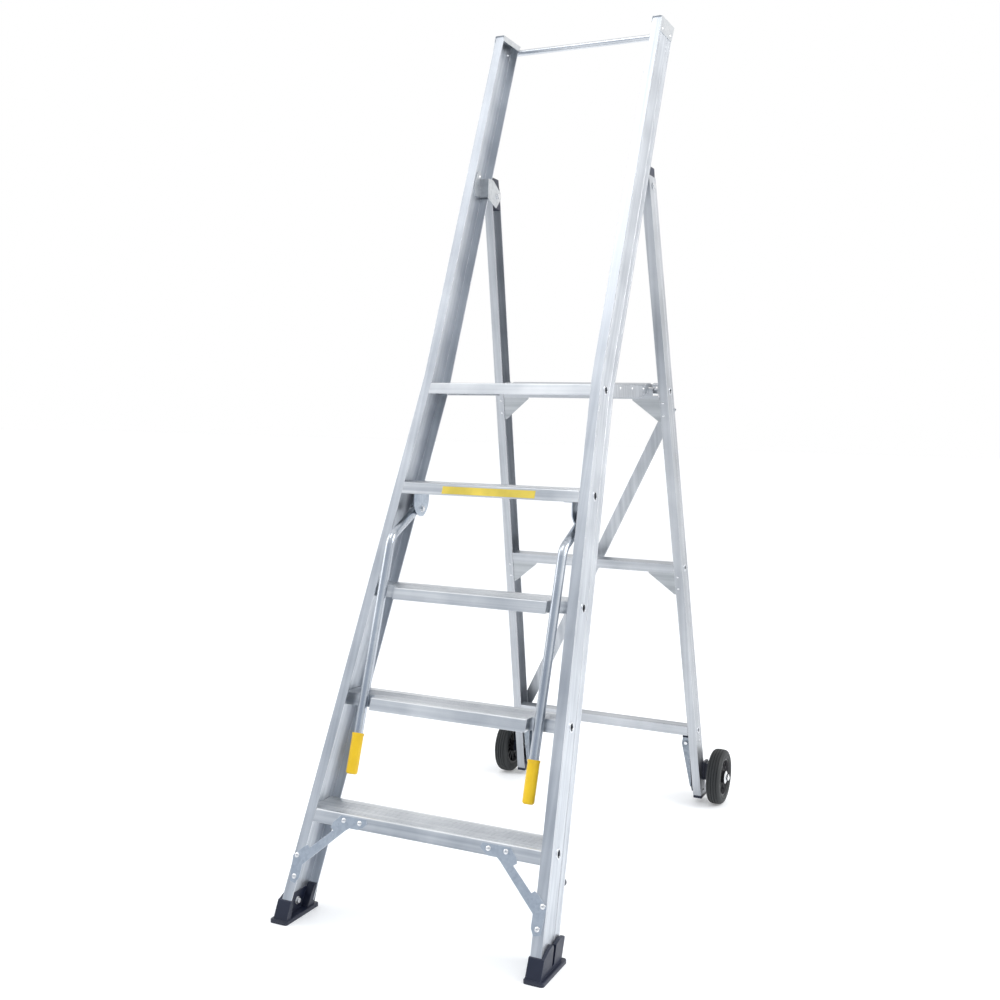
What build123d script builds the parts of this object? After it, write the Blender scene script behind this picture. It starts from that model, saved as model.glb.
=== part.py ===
from build123d import *
from math import cos, hypot, radians, sin, sqrt, tan
import os

os.makedirs("parts", exist_ok=True)

# ------------------------------------------------------------ driving dimensions, mm and degrees
# Floor at z = 0, +X to the climber's right, +Y away from the climber.
# The origin lies on the floor, midway between the toes of the feet and the backs of the wheels.
STILE_LEAN = 21.62          # climbing stiles, from upright
STILE_FOOT_Y = -804.0       # front face of the stiles, carried down to the floor
STILE_FOOT_HALF = 370.4     # outer face of a stile from the centre line, at the floor
STILE_TOP_HALF = 274.0      # the same above the bend
BEND_Z = 1439.0             # the stiles bend here and run parallel above it
TOP_Z = 2533.0              # top of the ladder
STILE_DEPTH = 109.5         # web of the stile channel
STILE_FLANGE = 28.3
STILE_SHEET = 3.0
STILE_BOTTOM_Z = 10.0       # the channel stands on the sole of its foot

LEG_LEAN = 15.325           # rear legs, from upright
LEG_FOOT_Y = 688.0          # front face of the legs, carried down to the floor
LEG_FOOT_HALF = 350.5
LEG_TAPER = 0.038           # narrowing of the leg frame per mm of height, each side
LEG_DEPTH = 61.7
LEG_FLANGE = 27.9
LEG_SHEET = 2.5
LEG_BOTTOM_Z = 26.0
LEG_TOP_Z = 2050.0

TREAD_TOPS = [277.0, 562.0, 847.0, 1132.0]
NOTCHED_TREADS = [562.0, 847.0]   # treads that clear the lifting handles
DECK_Z = 1417.0             # top of the platform's front nosing
TREAD_DEPTH = 103.0
NOSING_DEPTH = 78.0
FASCIA = 31.5               # height of a tread's front face
TREAD_SHEET = 2.5
DECK_SHEET = 3.8
NOTCH_X = 228.0             # inner end of the corner recess in a notched tread
NOTCH_DEPTH = 30.5

TUBE_DROP = 16.0            # tread tube's centre below the tread's top
TUBE_SETBACK = 46.3         # and behind the stile's front face
TUBE_R = 12.0
TUBE_BORE_R = 10.0
RING_R = 15.0               # swaged ring on the outside of the stile

HINGE_Y = 166.0             # fold axis, along X
HINGE_Z = 2022.0
PIVOT_Y = -144.0            # platform's pivot
PIVOT_Z = 1400.0
DECK_PITCH = 1.6            # the platform rises a little to the rear
HANDLE_X = 257.0
HANDLE_PIVOT_Y = -297.0
HANDLE_PIVOT_Z = 1053.0
AXLE_Y = 718.0
WHEEL_R = 94.0
WHEEL_X = 399.7
WHEEL_WIDTH = 48.0
SOLE = 10.0                 # thickness of a foot's sole
FOOT_TOE_Y = -812.0
RUNNING_GAP = 0.05          # radial clearance of every pivot pin

# ------------------------------------------------------------ lines and planes of the two frames
stile_slope = tan(radians(STILE_LEAN))
leg_slope = tan(radians(LEG_LEAN))
STILE_PLANE = Plane(
    origin=(0, STILE_FOOT_Y, 0),
    x_dir=(1, 0, 0),
    z_dir=(0, -cos(radians(STILE_LEAN)), sin(radians(STILE_LEAN))),
)
LEG_PLANE = Plane(
    origin=(0, LEG_FOOT_Y, 0),
    x_dir=(1, 0, 0),
    z_dir=(0, -cos(radians(LEG_LEAN)), -sin(radians(LEG_LEAN))),
)
OVERRUN = 80.0              # how far raw lengths run past their trimmed ends


def stile_front(z):
    """Y of the stiles' front face at a height."""
    return STILE_FOOT_Y + z * stile_slope


def leg_front(z):
    """Y of the legs' front face at a height."""
    return LEG_FOOT_Y - z * leg_slope


def stile_half(z):
    """Outer face of a stile from the centre line."""
    taper = (STILE_FOOT_HALF - STILE_TOP_HALF) / BEND_Z
    return max(STILE_FOOT_HALF - taper * z, STILE_TOP_HALF)


def leg_half(z):
    """Outer face of a leg from the centre line."""
    return LEG_FOOT_HALF - LEG_TAPER * z


def stile_web(y, z):
    """Outer face of a stile beside a point on its web."""
    along = (y - STILE_FOOT_Y) * sin(radians(STILE_LEAN)) + z * cos(radians(STILE_LEAN))
    return stile_half(along * cos(radians(STILE_LEAN)))


def leg_web(y, z):
    """Outer face of a leg beside a point on its web."""
    along = z * cos(radians(LEG_LEAN)) - (y - LEG_FOOT_Y) * sin(radians(LEG_LEAN))
    return leg_half(along * cos(radians(LEG_LEAN)))


def up_stile(z):
    """Length along the stile's front face from the floor to a height."""
    return z / cos(radians(STILE_LEAN))


def up_leg(z):
    """Length along the leg's front face from the floor to a height."""
    return z / cos(radians(LEG_LEAN))


def save(piece, label):
    """Names a finished piece and writes it."""
    piece.part.label = label
    export_step(piece.part, "parts/" + label + ".step")


def save_pair(piece, label):
    """Writes the right-hand piece and its mirror image."""
    save(piece, label + "_right")
    with BuildPart() as other:
        mirror(piece.part, about=Plane.YZ)
    save(other, label + "_left")


def both_sides(piece):
    """The piece with its mirror image, as one group."""
    with BuildPart() as pair:
        add(piece.part)
        mirror(piece.part, about=Plane.YZ)
    return pair


# ------------------------------------------------------------ shapes used by many pieces
def slab(plane, points, amount, mode=Mode.ADD):
    """A flat plate cut to a polygon on a plane, and thickened by an amount."""
    with BuildSketch(plane) as outline:
        with BuildLine():
            Polyline(*points, close=True)
        make_face()
    extrude(outline.sketch, amount=amount, mode=mode)


def side_slab(points, x_near, x_far, mode=Mode.ADD):
    """A plate cut to (y, z) points, from one X position to another."""
    slab(Plane.YZ.offset(x_near), points, x_far - x_near, mode)


def rod(y, z, x_near, x_far, radius, mode=Mode.ADD):
    """A round bar along X."""
    with BuildSketch(Plane.YZ.offset(x_near)) as section:
        with Locations((y, z)):
            Circle(radius)
    extrude(section.sketch, amount=x_far - x_near, mode=mode)


def block(x_span, y_span, z_span, mode=Mode.ADD):
    """A box between two limits on each axis."""
    centre = tuple((low + high) / 2 for low, high in (x_span, y_span, z_span))
    size = [high - low for low, high in (x_span, y_span, z_span)]
    with Locations(centre):
        Box(*size, mode=mode)


def rivet(plane, grip, shank=2.4, head=6.0, rise=2.4):
    """A domed rivet: its head rises from the plane, its shank runs back through the sheets."""
    section = Plane(origin=plane.origin, x_dir=plane.x_dir, z_dir=plane.y_dir * -1)
    sphere = (head * head + rise * rise) / (2 * rise)
    middle = (head / 2, sqrt(sphere * sphere - head * head / 4) - sphere + rise)
    inside = [(0, -grip), (shank, -grip), (shank, 0)] if grip > 0 else [(0, 0)]
    with BuildSketch(section) as profile:
        with BuildLine():
            Polyline((0, rise), *inside, (head, 0))
            ThreePointArc((head, 0), middle, (0, rise))
        make_face()
    revolve(profile.sketch, axis=Axis(plane.origin, plane.z_dir))


def facing_x(x, y, z, sign=1):
    """A plane that faces along X, for rivets and bolts through upright sheets."""
    return Plane(origin=(x, y, z), x_dir=(0, 1, 0), z_dir=(sign, 0, 0))


def on_stile(x, z, depth=0.0, backwards=False):
    """A plane on the stile's front face, or set back from it, at a height."""
    origin = STILE_PLANE.from_local_coords((x, up_stile(z), -depth))
    facing = STILE_PLANE.z_dir * (-1 if backwards else 1)
    return Plane(origin=origin, x_dir=(1, 0, 0), z_dir=facing)


def on_leg(x, z, depth=0.0, backwards=False):
    """A plane on the leg's front face, or set back from it, at a height."""
    origin = LEG_PLANE.from_local_coords((x, up_leg(z), -depth))
    facing = LEG_PLANE.z_dir * (-1 if backwards else 1)
    return Plane(origin=origin, x_dir=(1, 0, 0), z_dir=facing)


# ------------------------------------------------------------ climbing stiles
STILE_TAPER = (STILE_FOOT_HALF - STILE_TOP_HALF) / up_stile(BEND_Z)
GROOVES = ((8.0, 9.6), (72.0, 75.5), (99.9, 101.5))   # lines pressed along the outer web
GROOVE_DEPTH = 0.9


def stile_edge(inset):
    """Corners of a line that runs inset inside the stile's outer face, foot to top."""
    stretch = hypot(1, STILE_TAPER)
    foot = STILE_FOOT_HALF + STILE_TAPER * OVERRUN - inset * stretch
    bend = (STILE_FOOT_HALF - STILE_TOP_HALF - inset * (stretch - 1)) / STILE_TAPER
    top = up_stile(TOP_Z) + OVERRUN
    return [(foot, -OVERRUN), (STILE_TOP_HALF - inset, bend), (STILE_TOP_HALF - inset, top)]


def stile_band(insets, depths, mode=Mode.ADD):
    """A band along the stile between two insets and two depths behind its front face."""
    outline = stile_edge(insets[0]) + stile_edge(insets[1])[::-1]
    slab(STILE_PLANE.offset(-depths[0]), outline, depths[0] - depths[1], mode)


def tread_tube_places():
    """Centres (y, z) of the tubes under the treads and under the nosing."""
    heights = [top - TUBE_DROP for top in TREAD_TOPS + [DECK_Z]]
    return [(stile_front(z) + TUBE_SETBACK, z) for z in heights]


with BuildPart() as stile:
    stile_band((0, STILE_SHEET), (0, STILE_DEPTH))
    stile_band((0, STILE_FLANGE), (0, STILE_SHEET))
    stile_band((0, STILE_FLANGE), (STILE_DEPTH - STILE_SHEET, STILE_DEPTH))
    for groove in GROOVES:
        stile_band((-1, GROOVE_DEPTH), groove, mode=Mode.SUBTRACT)
    for tube_y, tube_z in tread_tube_places():
        rod(tube_y, tube_z, STILE_TOP_HALF - 20, STILE_FOOT_HALF + 20, TUBE_R, mode=Mode.SUBTRACT)
    split(bisect_by=Plane.XY.offset(STILE_BOTTOM_Z), keep=Keep.TOP)
    split(bisect_by=Plane.XY.offset(TOP_Z - 1.5), keep=Keep.BOTTOM)
save_pair(stile, "stile")

# ------------------------------------------------------------ tubes swaged through the stiles
with BuildPart() as tread_tube_half:
    for tube_y, tube_z in tread_tube_places():
        outer = stile_web(tube_y, tube_z)
        web_out = Vector(1, STILE_TAPER * sin(radians(STILE_LEAN)), STILE_TAPER * cos(radians(STILE_LEAN)))
        ring_plane = Plane(origin=(outer, tube_y, tube_z), x_dir=(0, 1, 0), z_dir=web_out)
        rod(tube_y, tube_z, 0, outer, TUBE_R)
        with BuildSketch(ring_plane) as ring:
            Circle(RING_R)
        extrude(ring.sketch, amount=1.6, taper=30)
        rod(tube_y, tube_z, -1, outer + 5, TUBE_BORE_R, mode=Mode.SUBTRACT)
save(both_sides(tread_tube_half), "tread_tubes")

# ------------------------------------------------------------ treads
END_GAP = 4.0               # between a tread's end and the stile's web
RIB_PITCH = 8.4
GROOVE_WIDTH = 4.6
GROOVE_FLOOR = 1.5
REAR_LIP = 14.0
NOSE = 3.0                  # the front edge is rounded down by this much


def build_tread(top, depth, notched):
    """An extruded tread: ribbed deck, front fascia in the stile's plane, rear lip."""
    front = stile_front(top)
    sheet = TREAD_SHEET / cos(radians(STILE_LEAN))
    foot = stile_front(top - FASCIA)
    half = stile_half(top) - STILE_SHEET - END_GAP
    ribs = int((depth - 22) / RIB_PITCH)
    with BuildPart() as tread:
        with BuildSketch(Plane.YZ) as section:
            with BuildLine():
                nose = (stile_front(top - NOSE), top - NOSE)
                Polyline(
                    (front + NOSE, top),
                    (front + depth, top),
                    (front + depth, top - REAR_LIP),
                    (front + depth - TREAD_SHEET, top - REAR_LIP),
                    (front + depth - TREAD_SHEET, top - DECK_SHEET),
                    (stile_front(top - DECK_SHEET) + sheet, top - DECK_SHEET),
                    (stile_front(top - FASCIA + TREAD_SHEET) + sheet, top - FASCIA + TREAD_SHEET),
                    (foot + sheet + 7, top - FASCIA + TREAD_SHEET),
                    (foot + sheet + 7, top - FASCIA),
                    (foot, top - FASCIA),
                    nose,
                )
                ThreePointArc(nose, (front + 0.5, top - 0.9), (front + NOSE, top))
            make_face()
            with Locations([(front + 12 + RIB_PITCH * i, top) for i in range(ribs)]):
                Rectangle(GROOVE_WIDTH, 2 * GROOVE_FLOOR, mode=Mode.SUBTRACT)
        extrude(section.sketch, amount=half)
        if notched:
            corner = (NOTCH_X + STILE_FOOT_HALF) / 2
            reach = STILE_FOOT_HALF - NOTCH_X
            down = Vector(0, -sin(radians(STILE_LEAN)), -cos(radians(STILE_LEAN)))
            with BuildSketch(Plane.XY.offset(top - GROOVE_FLOOR)) as pocket:
                with Locations((corner, front + 5)):
                    RectangleRounded(reach + 5, 2 * NOTCH_DEPTH - 7, 14)
            extrude(pocket.sketch, amount=up_stile(FASCIA - GROOVE_FLOOR), dir=down)
            with BuildSketch(Plane.XY.offset(top + 5)) as recess:
                with Locations((corner, stile_front(top + 5))):
                    RectangleRounded(reach, 2 * NOTCH_DEPTH, 12)
            extrude(recess.sketch, amount=up_stile(FASCIA + 10), dir=down, mode=Mode.SUBTRACT)
            split(bisect_by=STILE_PLANE, keep=Keep.BOTTOM)
            beyond = (half, STILE_FOOT_HALF + 40)
            block(beyond, (front - 100, front + 200), (top - 60, top + 20), Mode.SUBTRACT)
        stile_band((-10, STILE_FLANGE + 0.6), (-30, STILE_SHEET + 0.8), mode=Mode.SUBTRACT)
        mirror(about=Plane.YZ)
    return tread


for number, tread_top in enumerate(TREAD_TOPS, start=1):
    save(build_tread(tread_top, TREAD_DEPTH, tread_top in NOTCHED_TREADS), "tread_" + str(number))
save(build_tread(DECK_Z, NOSING_DEPTH, False), "platform_nosing")

# ------------------------------------------------------------ blank label on the fourth tread
LABEL_HALF = 141.0
LABEL_FILM = 0.4
with BuildPart() as tread_label:
    label_low = up_stile(TREAD_TOPS[3] - FASCIA + 4)
    label_high = up_stile(TREAD_TOPS[3] - 7)
    slab(STILE_PLANE, [
        (-LABEL_HALF, label_low),
        (LABEL_HALF, label_low),
        (LABEL_HALF, label_high),
        (-LABEL_HALF, label_high),
    ], LABEL_FILM)
save(tread_label, "tread_label")

# ------------------------------------------------------------ feet
FOOT_WALL = 4.0
FOOT_HEEL_Y = -661.0
with BuildPart() as foot:
    with BuildSketch(Plane.XY) as sole:
        with Locations((358.5, (FOOT_TOE_Y + FOOT_HEEL_Y) / 2)):
            RectangleRounded(53, FOOT_HEEL_Y - FOOT_TOE_Y, 8)
    extrude(sole.sketch, amount=SOLE)
    fillet(foot.edges().group_by(Axis.Z)[-1], 2.5)
    sleeve = [
        (stile_front(SOLE - 1) - FOOT_WALL - 3, SOLE - 1),
        (stile_front(54) - FOOT_WALL, 54),
        (stile_front(56) + 3, 56),
        (stile_front(66) + 22, 66),
        (stile_front(70) + 44, 70),
        (stile_front(62) + 52, 62),
        (stile_front(18) + 60, 18),
        (stile_front(18) + 72, 18),
        (stile_front(62) + 68, 62),
        (stile_front(67) + 90, 67),
        (stile_front(64) + STILE_DEPTH + 9, 64),
        (stile_front(60) + STILE_DEPTH + 13, 60),
        (stile_front(SOLE - 1) + STILE_DEPTH + 14, SOLE - 1),
    ]
    side_slab(sleeve, 366, 376)
    cheek = [
        (stile_front(40) + 8, 40), (stile_front(50) + 20, 50), (stile_front(54) + 38, 54),
        (stile_front(57) + 98, 57), (stile_front(SOLE - 1) + STILE_DEPTH, SOLE - 1),
        (stile_front(SOLE - 1) + 2, SOLE - 1),
    ]
    side_slab(cheek, 359, 368)
    toe_wall = [
        (stile_front(SOLE - 1) - FOOT_WALL - 3, SOLE - 1), (stile_front(54) - FOOT_WALL, 54),
        (stile_front(55) + 1, 55), (stile_front(40) + 10, 40), (stile_front(SOLE - 1) + 14, SOLE - 1),
    ]
    side_slab(toe_wall, 336, 370)
    heel_wall = [
        (stile_front(SOLE - 1) + 92, SOLE - 1), (stile_front(40) + 98, 40), (stile_front(62) + 106, 62),
        (stile_front(62) + STILE_DEPTH + 8, 62), (stile_front(58) + STILE_DEPTH + 13, 58),
        (stile_front(SOLE - 1) + STILE_DEPTH + 14, SOLE - 1),
    ]
    side_slab(heel_wall, 338, 370)
    add(stile.part, mode=Mode.SUBTRACT)
save_pair(foot, "foot")

BOLT_Y = -724.0
BOLT_Z = 32.0
CHEEK_X = 359.0
with BuildPart() as foot_bolt:
    with BuildSketch(facing_x(CHEEK_X, BOLT_Y, BOLT_Z, -1)) as washer:
        Circle(10.5)
    extrude(washer.sketch, amount=1.5)
    with BuildSketch(facing_x(CHEEK_X - 1.5, BOLT_Y, BOLT_Z, -1)) as hexagon:
        RegularPolygon(7.5, 6)
    extrude(hexagon.sketch, amount=5)
save(both_sides(foot_bolt), "foot_bolts")

# ------------------------------------------------------------ knee braces under the first tread
BRACE_SHEET = 2.0
BRACE_OUTLINE = [
    (162, 262), (168, 272), (243, 272), (263, 252), (267, 240), (258, 234),
    (316, 184), (324, 190), (334, 184), (361, 160), (356, 100), (338, 96),
    (329, 112), (328, 142), (222, 238), (212, 245), (188, 245), (174, 252),
]
BRACE_SCREWS = [(185, 261), (233, 261), (350, 161), (345, 112)]
with BuildPart() as knee_brace:
    slab(STILE_PLANE, [(x, up_stile(z)) for x, z in BRACE_OUTLINE], BRACE_SHEET)
save_pair(knee_brace, "knee_brace")

with BuildPart() as brace_screws:
    for screw_x, screw_z in BRACE_SCREWS:
        seat = on_stile(screw_x, screw_z, -BRACE_SHEET)
        rivet(seat, 0, shank=2.5, head=7.0, rise=3.2)
        with BuildSketch(seat.offset(2.0)) as socket:
            RegularPolygon(2.6, 6)
        extrude(socket.sketch, amount=3, mode=Mode.SUBTRACT)
save(both_sides(brace_screws), "knee_brace_screws")

# ------------------------------------------------------------ caps and grab bar at the top
CAP_SHEET = 1.5
cap_front = stile_front(TOP_Z)
stile_deep = STILE_DEPTH / cos(radians(STILE_LEAN))
with BuildPart() as top_cap:
    block((STILE_TOP_HALF - STILE_FLANGE - 1.5, STILE_TOP_HALF + CAP_SHEET),
          (cap_front - 4, cap_front + stile_deep + 6), (TOP_Z - CAP_SHEET, TOP_Z))
    flap_low = TOP_Z - 50
    side_slab([
        (stile_front(flap_low) + 2, flap_low),
        (stile_front(flap_low) + stile_deep - 2, flap_low),
        (cap_front + stile_deep + 6, TOP_Z),
        (cap_front - 4, TOP_Z),
    ], STILE_TOP_HALF, STILE_TOP_HALF + CAP_SHEET)
    lip_low = TOP_Z - 18
    side_slab([
        (stile_front(lip_low), lip_low),
        (stile_front(lip_low) + stile_deep, lip_low),
        (cap_front + stile_deep + 6, TOP_Z),
        (cap_front - 4, TOP_Z),
    ], STILE_TOP_HALF - STILE_FLANGE - 1.5, STILE_TOP_HALF - STILE_FLANGE)
save_pair(top_cap, "top_cap")

BAR_R = 9.5
BAR_Z = 2512.0
BAR_Y = stile_front(BAR_Z) + stile_deep + BAR_R / cos(radians(STILE_LEAN)) + 0.5
BAR_HALF = 264.0
BAR_SHEET = 1.6
BAR_RIVET_X = 253.0
with BuildPart() as top_bar:
    rod(BAR_Y, BAR_Z, -BAR_HALF, BAR_HALF, BAR_R)
    rod(BAR_Y, BAR_Z, -BAR_HALF - 1, BAR_HALF + 1, BAR_R - BAR_SHEET, mode=Mode.SUBTRACT)
    fillet(top_bar.edges().filter_by(GeomType.CIRCLE).sort_by(SortBy.RADIUS)[-2:], 0.6)
    with Locations((-BAR_RIVET_X, BAR_Y, BAR_Z + BAR_R), (BAR_RIVET_X, BAR_Y, BAR_Z + BAR_R)):
        Cylinder(2.6, 4 * BAR_SHEET, mode=Mode.SUBTRACT)
save(top_bar, "top_bar")

# ------------------------------------------------------------ fold hinge brackets
PLATE = 3.0
HINGE_PLATE_X = 241.3       # inner face of the plate that carries the hinge bolt
WEB_FACE = STILE_TOP_HALF - STILE_SHEET
with BuildPart() as hinge_bracket:
    side_slab([(53, 2034), (67, 2008), (102, 2008), (102, 2082), (92, 2090), (76, 2082)],
              WEB_FACE - PLATE, WEB_FACE)
    side_slab([(99, 2008), (102, 2008), (102, 2066), (99, 2066)], HINGE_PLATE_X, WEB_FACE)
    side_slab([(99, 2066), (99, 2006), (150, 1987), (160, 1985), (192, 2018), (190, 2036), (134, 2066)],
              HINGE_PLATE_X, HINGE_PLATE_X + PLATE)
    rod(HINGE_Y, HINGE_Z, HINGE_PLATE_X - 1, HINGE_PLATE_X + PLATE + 1, 6.0, mode=Mode.SUBTRACT)
    rod(80, 2043, WEB_FACE - PLATE - 1, WEB_FACE + 1, 3.0, mode=Mode.SUBTRACT)
save_pair(hinge_bracket, "hinge_bracket")

leg_outer_at_hinge = leg_half(HINGE_Z)
with BuildPart() as hinge_bolt:
    rod(HINGE_Y, HINGE_Z, HINGE_PLATE_X, leg_outer_at_hinge + 1.2, 6.0)
    rod(HINGE_Y, HINGE_Z, HINGE_PLATE_X - 1.5, HINGE_PLATE_X, 11.0)
    with BuildSketch(facing_x(HINGE_PLATE_X - 1.5, HINGE_Y, HINGE_Z, -1)) as hinge_head:
        RegularPolygon(9.5, 6)
    extrude(hinge_head.sketch, amount=6)
    rod(HINGE_Y, HINGE_Z, leg_outer_at_hinge + 1.2, leg_outer_at_hinge + 3.0, 11.0)
    rod(HINGE_Y, HINGE_Z, leg_outer_at_hinge + 3.0, leg_outer_at_hinge + 6.0, 7.5)
save(both_sides(hinge_bolt), "hinge_bolts")

# ------------------------------------------------------------ rivets of the fixed frame
CAP_RIVETS = [(206, 2496), (286, 2498)]
HANDLE_PLATE_X = 239.5
with BuildPart() as stile_rivets:
    for rivet_y, rivet_z in CAP_RIVETS:
        rivet(facing_x(STILE_TOP_HALF + CAP_SHEET, rivet_y, rivet_z), 0)
        rivet(facing_x(WEB_FACE, rivet_y, rivet_z, -1), 0, head=4.5)
    rivet(facing_x(WEB_FACE - PLATE, 93, 2071, -1), 0, head=7)
    bar_crown = Plane(origin=(BAR_RIVET_X, BAR_Y, BAR_Z + BAR_R), x_dir=(1, 0, 0), z_dir=(0, 0, 1))
    rivet(bar_crown, BAR_SHEET, head=5)
save(both_sides(stile_rivets), "stile_rivets")

# ------------------------------------------------------------ brackets of the lifting handles
tread_foot = TREAD_TOPS[3] - FASCIA
with BuildPart() as handle_bracket:
    with BuildSketch(Plane.YZ.offset(HANDLE_PLATE_X)) as cheek:
        with BuildLine():
            Polyline((-341, 1062), (-341, TREAD_TOPS[3] - DECK_SHEET - 0.5))
            Line((-341, TREAD_TOPS[3] - DECK_SHEET - 0.5), (-256, TREAD_TOPS[3] - DECK_SHEET - 0.5))
            Line((-256, TREAD_TOPS[3] - DECK_SHEET - 0.5), (-256, 1092))
            ThreePointArc((-256, 1092), (-268, 1050), (-290, 1032))
            Line((-290, 1032), (-306, 1032))
            ThreePointArc((-306, 1032), (-322, 1040), (-341, 1062))
        make_face()
    extrude(cheek.sketch, amount=PLATE)
    block((HANDLE_PLATE_X - 24, HANDLE_PLATE_X + 1), (-341, -256), (tread_foot - 3.5, tread_foot - 0.5))
    pin_hole = (HANDLE_PLATE_X - 1, HANDLE_PLATE_X + PLATE + 1)
    rod(HANDLE_PIVOT_Y, HANDLE_PIVOT_Z, *pin_hole, 5.0, mode=Mode.SUBTRACT)
    add(both_sides(tread_tube_half).part, mode=Mode.SUBTRACT)
    rod(*tread_tube_places()[3], HANDLE_PLATE_X - 30, HANDLE_PLATE_X + 9, TUBE_R, mode=Mode.SUBTRACT)
save_pair(handle_bracket, "handle_bracket")

HANDLE_R = 12.5
with BuildPart() as handle_pivot:
    rod(HANDLE_PIVOT_Y, HANDLE_PIVOT_Z, HANDLE_PLATE_X, HANDLE_X + HANDLE_R + 1, 5.0)
    rod(HANDLE_PIVOT_Y, HANDLE_PIVOT_Z, HANDLE_PLATE_X - 1.5, HANDLE_PLATE_X, 9.5)
    rod(HANDLE_PIVOT_Y, HANDLE_PIVOT_Z, HANDLE_X + HANDLE_R + 0.6, HANDLE_X + HANDLE_R + 2.2, 9.5)
    for nut_x, nut_way in ((HANDLE_PLATE_X - 1.5, -1), (HANDLE_X + HANDLE_R + 2.2, 1)):
        with BuildSketch(facing_x(nut_x, HANDLE_PIVOT_Y, HANDLE_PIVOT_Z, nut_way)) as nut:
            RegularPolygon(7.5, 6)
        extrude(nut.sketch, amount=5)
save(both_sides(handle_pivot), "handle_pivot_bolts")

# ------------------------------------------------------------ lifting handles
BEND_Y = -439.0
HANDLE_BEND_Z = 982.0
HANDLE_SLOPE = 0.306        # the long arm leans this much per mm of height
GRIP_TOP_Z = 466.0
GRIP_BOTTOM_Z = 362.0
END_SETBACK = 15.0


def handle_y(z):
    """Y of the long arm's centre line at a height."""
    return BEND_Y - HANDLE_SLOPE * (HANDLE_BEND_Z - z)


reach_y = BEND_Y - HANDLE_PIVOT_Y
reach_z = HANDLE_BEND_Z - HANDLE_PIVOT_Z
arm = hypot(reach_y, reach_z)
arm_start = (HANDLE_PIVOT_Y - reach_y / arm * END_SETBACK, HANDLE_PIVOT_Z - reach_z / arm * END_SETBACK)
arm_end = (handle_y(GRIP_BOTTOM_Z + 4), GRIP_BOTTOM_Z + 4)
with BuildPart() as handle_tube:
    with BuildLine(Plane.YZ.offset(HANDLE_X)) as handle_line:
        FilletPolyline(arm_start, (BEND_Y, HANDLE_BEND_Z), arm_end, radius=45)
    with BuildSketch(Plane(origin=handle_line.line @ 0, z_dir=handle_line.line % 0)) as wall:
        Circle(HANDLE_R)
        Circle(HANDLE_R - 2, mode=Mode.SUBTRACT)
    sweep(wall.sketch, path=handle_line.line)
    rod(HANDLE_PIVOT_Y, HANDLE_PIVOT_Z, HANDLE_X - 20, HANDLE_X + 20, 5.0 + RUNNING_GAP, mode=Mode.SUBTRACT)
save_pair(handle_tube, "handle_tube")

GRIP_R = 15.5
grip_down = Vector(0, -HANDLE_SLOPE, -1)
with BuildPart() as grip:
    grip_plane = Plane(origin=(HANDLE_X, handle_y(GRIP_TOP_Z), GRIP_TOP_Z), x_dir=(1, 0, 0), z_dir=grip_down)
    grip_length = (GRIP_TOP_Z - GRIP_BOTTOM_Z) * hypot(1, HANDLE_SLOPE)
    section = Plane(origin=grip_plane.origin, x_dir=(1, 0, 0), z_dir=grip_plane.y_dir * -1)
    with BuildSketch(section) as grip_profile:
        with BuildLine():
            Polyline(
                (HANDLE_R, 0), (GRIP_R + 1, 0), (GRIP_R + 1, 5), (GRIP_R, 8),
                (GRIP_R, grip_length - 4), (GRIP_R - 4, grip_length), (0, grip_length),
                (0, grip_length - 3.5), (HANDLE_R, grip_length - 3.5), (HANDLE_R, 0),
            )
        make_face()
    revolve(grip_profile.sketch, axis=Axis(grip_plane.origin, grip_plane.z_dir))
save_pair(grip, "handle_grip")

# ------------------------------------------------------------ studs that cushion the folded legs
BUFFER_X = 345.0
BUFFER_Z = 217.0
with BuildPart() as fold_buffer:
    with BuildSketch(on_stile(BUFFER_X, BUFFER_Z, STILE_DEPTH, backwards=True)) as stud:
        Circle(9.5)
    extrude(stud.sketch, amount=20)
    fillet(fold_buffer.edges().filter_by(GeomType.CIRCLE).sort_by(Axis.Y)[-1:], 3)
save(both_sides(fold_buffer), "fold_buffers")

# ------------------------------------------------------------ rear legs
LEG_RUN = LEG_TAPER * cos(radians(LEG_LEAN))   # narrowing per mm of leg length


def leg_edge(inset):
    """Ends of a line that runs inset inside the leg's outer face."""
    top = up_leg(LEG_TOP_Z) + OVERRUN
    start = LEG_FOOT_HALF - inset * hypot(1, LEG_RUN)
    return [(start + LEG_RUN * OVERRUN, -OVERRUN), (start - LEG_RUN * top, top)]


def leg_band(insets, depths, mode=Mode.ADD):
    """A band along the leg between two insets and two depths behind its front face."""
    outline = leg_edge(insets[0]) + leg_edge(insets[1])[::-1]
    slab(LEG_PLANE.offset(-depths[0]), outline, depths[0] - depths[1], mode)


# The top ends are cut back parallel to the stiles, which they stop against when the frame is open.
STOP_GAP = 1.0
stop_plane = STILE_PLANE.offset(-STILE_DEPTH - STOP_GAP)
centre_depth = LEG_DEPTH / 2
LEG_TUBE_R = 9.5
LEG_RING_R = 12.5
RAIL_TUBE_FACES = (257.7, 834.3, 1407.8)   # heights at which the rail tubes sit along the leg


def rail_tube_places():
    """Centres (y, z) of the tubes behind the three rails, on the legs' centre line."""
    centres = [LEG_PLANE.from_local_coords((0, up_leg(z), -centre_depth)) for z in RAIL_TUBE_FACES]
    return [(centre.Y, centre.Z) for centre in centres]


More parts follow.
